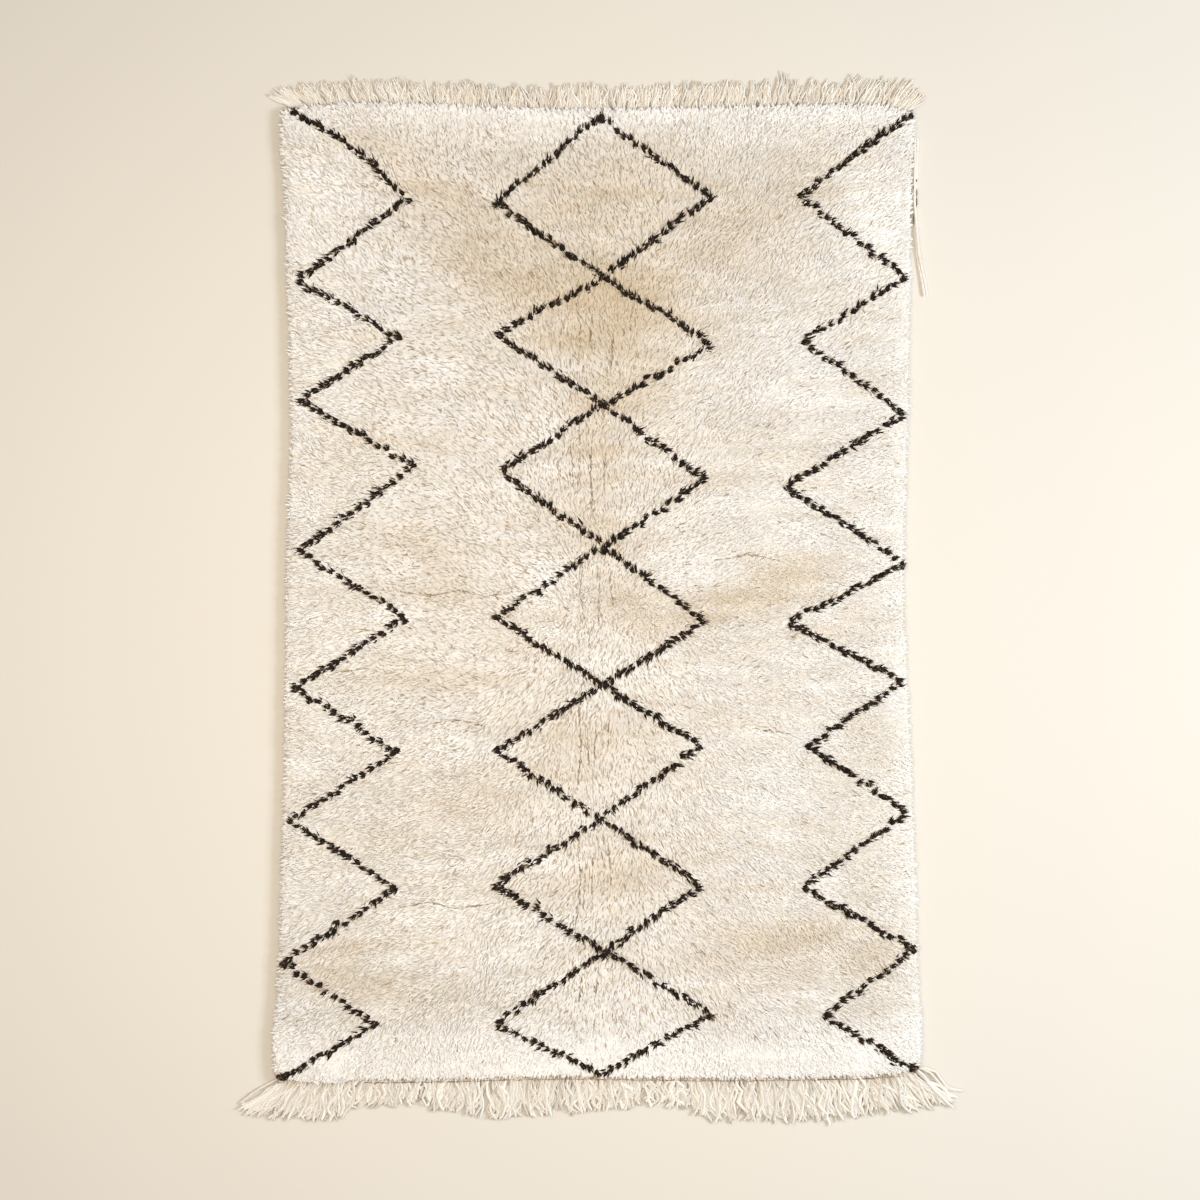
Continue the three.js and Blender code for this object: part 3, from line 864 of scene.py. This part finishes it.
IVORY_DEPTH_SHADE = (0.65, 0.57, 0.47)
ivory_material = wool_material(
    "ivory pile", clean=IVORY, tan=IVORY_TAN, depth_shade=IVORY_DEPTH_SHADE,
    unevenness=0.24, bump=0.0006, fibre_scale=430.0,
)
band = ((ends[:, 0, 1] - BANDS_FROM) / BANDS_LONG * PILE_BANDS).astype(int).clip(0, PILE_BANDS - 1)
for number in range(PILE_BANDS):
    part = ends[band == number]
    count = len(part)
    x, y = part[:, 0, 0], part[:, 0, 1]
    width = lock_widths(STRAND_WIDTH, count)
    fresh, calm = fresh_at(x, y), calm_at(x, y)
    # A few locks are thin and painted in the deep shade colour, as the shaded slits between the locks.
    slit_shade = rng.uniform(size=count) < SLIT_SHADE_SHARE * (1 - 0.8 * fresh)
    width = np.where(slit_shade, 0.4, (1 + 0.12 * fresh) * (1 - 0.22 * calm)) * width
    tan = tan_at(x, y) + rng.normal(0, 0.07, count)
    # Felted wool varies more from lock to lock.
    tone = rng.normal(0.5, 0.17, count) * (1 + 0.35 * calm) - 0.175 * calm
    # Each lock is painted in shade towards its root, less so where the pile is fresh and where it is felted.
    felted = np.maximum(fresh, 0.5 * calm)
    clean_along = np.array([0.38, 0.68, 1.0]) + felted[:, None] * np.array([0.22, 0.1, 0.0])
    slit_shade_along = np.tile([0.1, 0.25, 0.4], (count, 1))
    values = {
        "tone": np.clip(tone, -0.2, 1.2) + 0.58 * white_at(x, y),
        "tan": np.clip(tan, 0, 1),
        "along": np.where(slit_shade[:, None], slit_shade_along, clean_along),
    }
    piece = yarn_mesh(f"ivory_pile_{number + 1}", part, width[:, None] * LOCK_SHAPE, values)
    piece.data.materials.append(ivory_material)
    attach(piece, "root")
    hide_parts("rug_body")


# ------------------------------
# Dark knots. The diamonds and zigzags are knotted in near-black natural wool, in the same rows
# as the ivory and a little prouder of it. Each tuft is a few yarn ends lying with their
# neighbours, so the lines come out broken and jagged.
DARK_ENDS = 11
DARK_WIDTH = 0.0028
DARK_REACH = 0.0205
DARK_KNOT_HEIGHT = 0.008
PROUD = (0.0008, 0.0012)  # how much higher than the ivory a dark lock's bend and tip may stand


def mixed_tones(count):
    """How light each strand is: some a little lighter, some a little darker."""
    return np.clip(rng.normal(0.5, 0.3, count), -0.3, 1.3)


rng = np.random.default_rng(71)
repeat = np.repeat(np.arange(len(dark_tufts)), DARK_ENDS)
way = dark_lie[repeat]
along_tuft = rng.uniform(-0.5, 0.5, len(repeat)) * dark_tufts[repeat, 2]
across_tuft = rng.uniform(-0.9, 0.9, len(repeat)) * dark_tufts[repeat, 3]
back = 0.6 * DARK_REACH
root = np.stack([
    dark_tufts[repeat, 0] + (along_tuft - back) * np.cos(way) - across_tuft * np.sin(way),
    dark_tufts[repeat, 1] + (along_tuft - back) * np.sin(way) + across_tuft * np.cos(way),
], -1)
inside = inset_of(*root.T) > 0.004
root, way = root[inside], way[inside]
count = len(root)
lie = way + rng.normal(0, 0.24, count)
reach = DARK_REACH * np.clip(rng.normal(1, 0.15, count), 0.6, 1.4)
tip = root + np.stack([np.cos(lie), np.sin(lie)], -1) * reach[:, None]
over = np.maximum(-inset_of(*tip.T), 0)
tip = root + (tip - root) * np.clip(1 - over / reach, 0.2, 1)[:, None]
bend = root + (tip - root) * 0.4
bend_z = pile_profile(*bend.T, PILE_HEIGHT) + PROUD[0] - rng.uniform(0.0005, 0.003, count)
tip_z = pile_profile(*tip.T, PILE_HEIGHT) + PROUD[1] - rng.uniform(0, 0.003, count)
dark_ends = with_heights((root, DARK_KNOT_HEIGHT), (bend, bend_z), (tip, tip_z))
radius = lock_widths(DARK_WIDTH, count)[:, None] * LOCK_SHAPE
# The dark locks too are painted in shade towards their roots.
values = {
    "tone": mixed_tones(count),
    "tan": rng.uniform(0, 0.7, count) ** 3,
    "along": np.tile([0.0, 0.55, 1.0], (count, 1)),
}
dark_knots = yarn_mesh("dark_knots", dark_ends, radius, values, flatten=0.8, soften=0.2)
dark_knots.data.materials.append(wool_material(
    "dark pile", clean=(0.017, 0.0125, 0.0095), tan=(0.075, 0.047, 0.028), depth_shade=(0.010, 0.0075, 0.0055),
    unevenness=0.8, bump=0.0008, sheen=0.02, specular=0.08,
))
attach(dark_knots, "root")
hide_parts("rug_body")


# ------------------------------
# Brown fibres. Thin brown strands that come out of the pile, lie on it and dip in again. Round
# the dark tufts they are stray dark hairs. Elsewhere they are partly coarse hairs spun in with
# the wool and partly painted shade: thin brown lines in the slits between the locks, in the
# partings and along the lower end. A few more lie beside the loose yarn.
FIBRE_COUNT = 6800
TUFT_FIBRES = 2  # stray dark hairs round each dark tuft
FIBRE_WIDTH = 0.0009  # half the width of a fibre
PARTING_STEP = 0.0055
END_SHADE_LINE = (-0.549, 0.703, 0.012)  # from, to and step of the painted shadow line along the lower end
END_SHADE_HEIGHT = 0.0125
YARN_SIDE_BOW = 0.0006
# Dark brown strands laid beside the loose yarn, where the rug shows dark marks: from, to and height.
YARN_SIDE_MARKS = [
    (0.7426, 0.989, 0.7428, 0.979, 0.0085), (0.7431, 0.967, 0.7428, 0.943, 0.0085),
    (0.7428, 0.948, 0.7424, 0.92, 0.0085), (0.735, 0.908, 0.7348, 0.878, 0.015),
    (0.7352, 0.974, 0.735, 0.962, 0.015),
]
fibres, fibre_along = [], []


def strew(x, y, way, length, bow, height, along):
    """Adds fibres that come out of the pile, run on top of it and dip in again."""
    t = np.array([0.0, 0.3, 0.7, 1.0])[None]
    ahead = (t - 0.5) * length[:, None]
    across = bow[:, None] * (np.sin(np.pi * t) - 0.5)
    c, s = np.cos(way)[:, None], np.sin(way)[:, None]
    px, py = x[:, None] + ahead * c - across * s, y[:, None] + ahead * s + across * c
    pz = height[:, None] - np.array([0.0022, 0.0, 0.0, 0.0016])
    fibres.append(np.stack([px, py, np.minimum(pz, pile_profile(px, py, PILE_HEIGHT) + 0.001)], -1))
    fibre_along.append(along)


rng = np.random.default_rng(76)
# Scattered over the pile: partly hairs, partly painted shade of the slits between locks, fewer where the pile
# is fresh and where it is felted.
x, y = on_rug(rng.uniform(0.01, 0.99, FIBRE_COUNT), rng.uniform(0.01, 0.99, FIBRE_COUNT), 0.006)
thinned = np.maximum(0.85 * fresh_at(x, y), 0.75 * calm_at(x, y))
kept = (rng.uniform(size=FIBRE_COUNT) > thinned) & (inset_of(x, y) > 0.012)
x, y = x[kept], y[kept]
count = len(x)
strew(
    x, y, lie_of(x, y)[0] + rng.normal(0, 0.3, count), rng.uniform(0.008, 0.024, count),
    rng.normal(0, 0.0018, count), PILE_HEIGHT - rng.uniform(0, 0.003, count),
    rng.uniform(0.4, 1.0, count),
)
# In the partings they are painted shade along the open lines.
for line in PARTINGS:
    for start, end in zip(line, line[1:]):
        count = int(math.dist(start, end) / PARTING_STEP)
        direction = math.atan2(end[1] - start[1], end[0] - start[0])
        strew(
            *beside(start, end, rng.uniform(0, 1, count), rng.normal(0, 0.0022, count)),
            direction + rng.normal(0, 0.15, count), rng.uniform(0.007, 0.018, count),
            rng.normal(0, 0.0015, count), PILE_HEIGHT - rng.uniform(0.0005, 0.0025, count),
            rng.uniform(0.25, 0.8, count),
        )
repeat = np.repeat(np.arange(len(dark_tufts)), TUFT_FIBRES)
count = len(repeat)
strew(
    dark_tufts[repeat, 0] + rng.normal(0, 0.006, count), dark_tufts[repeat, 1] + rng.normal(0, 0.006, count),
    dark_lie[repeat] + rng.normal(0, 0.7, count), rng.uniform(0.007, 0.015, count),
    rng.normal(0, 0.0015, count), PILE_HEIGHT + rng.uniform(-0.001, 0.001, count),
    rng.uniform(-0.1, 0.5, count),
)
# Along the lower end a row of brown strands is a painted shadow line where the pile meets the fringe.
x = np.arange(*END_SHADE_LINE)
count = len(x)
x = x + rng.uniform(-0.004, 0.004, count)
strew(
    x, bottom_edge(x) - 0.003 + rng.normal(0, 0.0008, count), rng.normal(0, 0.05, count),
    rng.uniform(0.018, 0.034, count), rng.normal(0, 0.0008, count), np.full(count, END_SHADE_HEIGHT),
    rng.uniform(0.2, 0.7, count),
)
ax, ay, bx, by, z = np.array(YARN_SIDE_MARKS).T
strew(
    (ax + bx) / 2, (ay + by) / 2, np.arctan2(by - ay, bx - ax), np.hypot(bx - ax, by - ay),
    np.full(len(YARN_SIDE_MARKS), YARN_SIDE_BOW), z, np.full(len(YARN_SIDE_MARKS), 0.1),
)
fibres = np.concatenate(fibres)
count = len(fibres)
radius = FIBRE_WIDTH * rng.uniform(0.7, 1.3, (count, 1)) * np.array([0.0, 1.0, 1.0, 0.0])
radius[-len(YARN_SIDE_MARKS):] *= 1.5
values = {
    "tone": mixed_tones(count),
    "tan": rng.uniform(0, 0.6, count),
    "along": np.concatenate(fibre_along),
}
brown_fibres_painted_shade = yarn_mesh("brown_fibres_painted_shade", fibres, radius, values, flatten=0.8, soften=0.5)
brown_fibres_painted_shade.data.materials.append(wool_material(
    "brown fibres and painted slit shade", clean=(0.54, 0.42, 0.275), tan=(0.42, 0.30, 0.18), depth_shade=(0.17, 0.11, 0.065),
    unevenness=0.4, bump=0.0004, sheen=0.05,
))
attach(brown_fibres_painted_shade, "root")
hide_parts("rug_body")


# ------------------------------
# Top fringe. The short warp ends at the far end of the rug, thin undyed wool yarns cut by hand.
# They come out from under the pile's last row and lie on the floor, leaning a little outwards.
FRINGE_PLACES = np.array([0.0, 0.12, 0.27, 0.42, 0.57, 0.72, 0.85, 0.95, 1.0])  # a yarn's rings
FRINGE_ROOT = 0.012  # how far under the pile's edge the yarns start
TOP_YARNS = 860
TOP_YARN_WIDTH = 0.0025

# Place along the end, reach past the pile's edge and sideways lean, in metres.
TOP_STATIONS = np.array([
    (-0.706, 0.028, -0.076), (-0.69, 0.044, -0.056), (-0.66, 0.05, -0.038), (-0.56, 0.05, -0.03),
    (-0.4, 0.051, -0.02), (-0.12, 0.055, -0.01), (0.16, 0.055, 0.0), (0.42, 0.058, 0.008),
    (0.6, 0.054, 0.016), (0.68, 0.054, 0.032), (0.704, 0.04, 0.048), (0.716, 0.026, 0.054),
])


def fringe_paths(stations, edge, outwards, count, bundle, gather, height, wave, uneven):
    """Yarn lines for one end. Yarns are shared out to bundles, whose tips come together.

    bundle is a bundle's width, gather how far its tips come together, height the root's, the
    tip's and the layers' height, wave how far yarns bow, and uneven how much the reach varies.
    """
    spacing = stations[:, 0] + 0.7 * stations[:, 2]
    x = np.sort(np.interp(rng.uniform(spacing[0], spacing[-1], count), spacing, stations[:, 0]))
    low = x[0]
    which = np.floor((x - low) / bundle + rng.normal(0, 0.15, count)).astype(int)
    which -= which.min()
    middle = low + (which + 0.5) * bundle
    bundles = which.max() + 1
    reach = np.interp(x, stations[:, 0], stations[:, 1])
    lean = np.interp(x, stations[:, 0], stations[:, 2])
    reach *= rng.normal(1, uneven, bundles)[which] * np.clip(rng.normal(0.93, 0.13, count), 0.5, 1.12)
    lean = lean + rng.normal(0, 0.006, bundles)[which] + rng.normal(0, 0.007, count)
    tip_x = x + lean + gather * (middle - x)
    t = FRINGE_PLACES[None]
    root_y = edge(x) - outwards * FRINGE_ROOT
    tip_y = edge(x) + outwards * reach
    bow = rng.normal(0, wave, (count, 1)) * np.sin(np.pi * t)
    curl = rng.normal(0, 0.6 * wave, (count, 1)) * np.sin(2 * np.pi * t)
    kink = rng.normal(0, 0.4 * wave, (count, 1)) * np.sin(3.5 * np.pi * t)
    dx, dy = (tip_x - x)[:, None], (tip_y - root_y)[:, None]
    long = np.hypot(dx, dy)
    px = x[:, None] + dx * t**1.2 + (bow + curl + kink) * abs(dy) / long
    py = root_y[:, None] + dy * t + 0.5 * curl + 0.4 * (bow + curl + kink) * dx / long
    layer = rng.uniform(0, 1, (count, 1))
    rise = height[0] + layer * height[2]
    fall = height[1] + layer * height[2] * rng.uniform(0.1, 0.9, (count, 1))
    ripple = 0.0008 * np.sin(t * 9 + rng.uniform(0, 6, (count, 1)))
    return np.stack([px, py, rise + (fall - rise) * np.clip(t * 1.3, 0, 1) + ripple], -1)


def buried_shade(paths):
    """How far each yarn of a fringe lies under the others, from 0 to 1; the outermost don't. It sets painted
    shade on the lower yarns.
    """
    height = paths[:, 3:6, 2].mean(axis=1, keepdims=True)
    share = (height - height.min()) / (height.max() - height.min())
    place = abs(paths[:, :1, 0])
    covered = 1 - np.maximum(share, 1 - (place.max() - place) / 0.03)
    return covered * rng.uniform(0.3, 1, covered.shape)


rng = np.random.default_rng(81)
paths = fringe_paths(
    TOP_STATIONS, top_edge, 1, TOP_YARNS, bundle=0.016, gather=0.3,
    height=(0.006, 0.002, 0.004), wave=0.005, uneven=0.08,
)
shape = np.array([0.0, 1.0, 1.0, 1.0, 1.0, 0.95, 0.8, 0.55, 0.0])
radius = TOP_YARN_WIDTH * rng.uniform(0.75, 1.2, (TOP_YARNS, 1)) * shape
# Each yarn is painted in shade at its root and where it lies under other yarns.
values = {
    "along": 0.68 + 0.35 * FRINGE_PLACES - 0.45 * buried_shade(paths),
    "tone": mixed_tones(TOP_YARNS),
    "tan": np.clip(rng.normal(0.4, 0.35, TOP_YARNS), 0, 1),
}
fringe_top = yarn_mesh("fringe_top_yarns", paths, radius, values, flatten=0.8, soften=0.55)
fringe_top.data.materials.append(wool_material(
    "short fringe", clean=(0.88, 0.853, 0.805), tan=(0.73, 0.645, 0.525), depth_shade=(0.65, 0.57, 0.47),
    unevenness=0.25, bump=0.0007,
))
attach(fringe_top, "root")
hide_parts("fringe_top")


# ------------------------------
# Bottom fringe. The long warp ends at the near end, loosely spun wool yarns thicker than the
# short ones, gathered into pointed bundles. They lie on the floor and fan out at both corners.
BOTTOM_YARNS = 980
BOTTOM_YARN_WIDTH = 0.0040
BOTTOM_STATIONS = np.array([
    (-0.745, 0.07, -0.098), (-0.715, 0.078, -0.078), (-0.66, 0.084, -0.04), (-0.6, 0.082, -0.026),
    (-0.57, 0.058, -0.022), (-0.4, 0.056, -0.016), (-0.34, 0.074, -0.01), (-0.2, 0.09, -0.006),
    (-0.04, 0.078, 0.0), (0.06, 0.068, 0.004), (0.13, 0.058, 0.006), (0.23, 0.086, 0.01),
    (0.36, 0.098, 0.01), (0.52, 0.094, 0.014), (0.63, 0.086, 0.024), (0.69, 0.08, 0.056),
    (0.733, 0.068, 0.118),
])

rng = np.random.default_rng(91)
paths = fringe_paths(
    BOTTOM_STATIONS, bottom_edge, -1, BOTTOM_YARNS, bundle=0.019, gather=0.1,
    height=(0.004, 0.0035, 0.007), wave=0.0095, uneven=0.05,
)
shape = np.array([0.0, 0.85, 1.0, 0.95, 1.05, 1.0, 1.1, 0.9, 0.0])
radius = BOTTOM_YARN_WIDTH * rng.uniform(0.7, 1.2, (BOTTOM_YARNS, 1)) * shape
# Each yarn is painted in shade at its root, under the pile, and where it lies under other yarns.
values = {
    "tone": mixed_tones(BOTTOM_YARNS),
    "tan": np.clip(rng.normal(0.15, 0.2, BOTTOM_YARNS), 0, 1),
    "along": np.clip(0.45 + 1.5 * FRINGE_PLACES, 0, 1) - 0.85 * buried_shade(paths),
}
fringe_bottom = yarn_mesh("fringe_bottom_yarns", paths, radius, values, flatten=0.8, soften=0.5)
fringe_bottom.data.materials.append(wool_material(
    "long fringe", clean=(0.83, 0.802, 0.752), tan=(0.67, 0.585, 0.47), depth_shade=(0.49, 0.405, 0.31),
    unevenness=0.3, bump=0.0007,
))
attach(fringe_bottom, "root")
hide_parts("fringe_bottom")


# ------------------------------
# Loose selvedge yarn. A doubled wool yarn that bound the right edge and has come away: it lies
# along the pile from the top corner, its two strands side by side, crosses once, then drifts off
# over the floor to its cut end.
YARN_HEIGHT = 0.0046
STRAND_RADIUS = 0.0026
STRAND_OFFSET = 0.0031  # from the yarn's middle to a strand's middle
YARN_ROUTE = np.array([
    (0.7431, 1.086), (0.7425, 1.062), (0.7417, 1.036), (0.7411, 1.01), (0.7402, 0.984), (0.7395, 0.958),
    (0.7392, 0.934), (0.7402, 0.91), (0.7418, 0.886), (0.7432, 0.862), (0.7444, 0.838), (0.7464, 0.814),
    (0.7502, 0.79), (0.755, 0.768), (0.7596, 0.744), (0.7628, 0.726), (0.7652, 0.71),
])
YARN_RINGS = 90

route = np.column_stack([YARN_ROUTE, np.full(len(YARN_ROUTE), YARN_HEIGHT)])
steps = np.linalg.norm(np.diff(route, axis=0), axis=1)
yarn_length = float(steps.sum())
travelled = np.concatenate([[0], np.cumsum(steps)])
s = np.linspace(0, yarn_length, YARN_RINGS)
line = np.stack([np.interp(s, travelled, route[:, k]) for k in range(3)], -1)
ahead = np.gradient(line, axis=0)
side = unit(np.stack([ahead[:, 1], -ahead[:, 0], np.zeros(YARN_RINGS)], -1))
# The strands come together at both ends, and swap sides half way.
apart = STRAND_OFFSET * np.concatenate([[0.2, 0.9], np.ones(YARN_RINGS - 3), [0.8]])
strands = []
for start in (0, np.pi):
    angle = start + np.pi * np.linspace(0, 1, YARN_RINGS)
    strand = line + (np.cos(angle) * apart)[:, None] * side
    strand[:, 2] += 0.8 * np.sin(angle) * apart
    strands.append(strand)
rng = np.random.default_rng(101)
shape = np.concatenate([[0.0], np.ones(YARN_RINGS - 3), [0.85, 0.0]])
radius = STRAND_RADIUS * shape[None] * np.clip(1 + 0.06 * rng.normal(0, 1, (2, YARN_RINGS)), 0.85, 1.15)
values = {
    "tone": np.array([0.45, 0.6]),
    "tan": 0.10 + 0.1 * rng.normal(0, 1, (2, YARN_RINGS)).clip(-1, 1),
    "along": np.clip(0.85 + 0.15 * rng.normal(0, 1, (2, YARN_RINGS)), 0.5, 1),
}
loose_yarn = yarn_mesh(
    "loose_selvedge_strands", np.array(strands), radius, values, sides=8, flatten=0.95, soften=0.35
)
loose_yarn.data.materials.append(wool_material(
    "side yarn", clean=(0.86, 0.825, 0.765), tan=(0.66, 0.56, 0.44), depth_shade=(0.50, 0.41, 0.31),
    unevenness=0.22, bump=0.0007,
))
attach(loose_yarn, "root")
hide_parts("loose_selvedge_yarn")


# ------------------------------
# Floor and light. A plain cream studio floor, and plain soft light: pale light from all round,
# one large soft lamp overhead and one to the right, so that the shade falls to the left. Far from
# the rug the floor itself glows with painted light.
FLOOR_HALF = 60.0
FLOOR_LEVEL = -0.0004
FLOOR_GLOW = (2.0, 7.0)  # how far out the floor starts to glow with painted light, and where it glows fully
FLOOR_PAINTS = ((0.735, 0.694, 0.628, 1), (0.745, 0.704, 0.638, 1))
LAMP_FOOT = (4.4, 0, 0)
LAMP_FOOT_REACH = 3.0
LAMP_FOOT_SHADE = 0.36

floor_mesh = bpy.data.meshes.new("floor")
corners = [(x * FLOOR_HALF, y * FLOOR_HALF, FLOOR_LEVEL) for x, y in ((-1, -1), (1, -1), (1, 1), (-1, 1))]
floor_mesh.from_pydata(corners, [], [(0, 1, 2, 3)])
floor = placed("floor", floor_mesh)
material, tree, shader = plain_material("studio floor", sheen=0.0, specular=0.1)
place = add_node(tree, "ShaderNodeTexCoord")["Object"]
mottle = add_node(tree, "ShaderNodeTexNoise", {"Vector": place, "Scale": 1.1, "Detail": 2.0})["Fac"]
paint = add_mix(tree, mottle, *FLOOR_PAINTS)
# Below the right-hand lamp the floor is painted darker, so that it doesn't glare.
off_lamp = add_node(tree, "ShaderNodeVectorMath", {0: place, 1: LAMP_FOOT}, operation="DISTANCE")["Value"]
shade = add_range(tree, off_lamp, 0.0, LAMP_FOOT_REACH, LAMP_FOOT_SHADE, 1.0, blend="SMOOTHSTEP")
painted = add_node(tree, "ShaderNodeVectorMath", {0: paint, "Scale": shade}, operation="SCALE")["Vector"]
# Far from the rug the floor glows with painted light, in place of the studio's other lights, and stays pale.
far = add_node(tree, "ShaderNodeVectorMath", {0: place}, operation="LENGTH")["Value"]
rise = add_range(tree, far, *FLOOR_GLOW, blend="SMOOTHSTEP")
set_inputs(tree, shader, {
    "Base Color": painted,
    "Emission Color": add_mix(tree, rise, (0, 0, 0, 1), (0.46, 0.43, 0.37, 1)),
    "Emission Strength": 1.0,
})
floor_mesh.materials.append(material)

world = bpy.data.worlds.new("studio")
world.use_nodes = True
sky = world.node_tree.nodes["Background"]
sky.inputs["Color"].default_value = (1.0, 0.95, 0.87, 1)
sky.inputs["Strength"].default_value = 0.33
scene.world = world


def soft_lamp(name, place, size, watts, colour):
    """A square studio softbox that faces the rug's middle."""
    data = bpy.data.lights.new(name, "AREA")
    data.shape = "SQUARE"
    data.size = size
    data.energy = watts
    data.color = colour
    lamp = placed(name, data)
    lamp.location = place
    lamp.visible_camera = False
    lamp.rotation_mode = "QUATERNION"
    lamp.rotation_quaternion = (-lamp.location).to_track_quat("-Z", "Y")


soft_lamp("overhead_softbox", (-0.5, -0.15, 3.2), 3.0, 87.0, (1.0, 0.879, 0.72))
soft_lamp("side_softbox", (5.5, 0.0, 3.6), 1.9, 343.0, (0.79, 0.885, 0.985))
scene.view_settings.view_transform = "Standard"
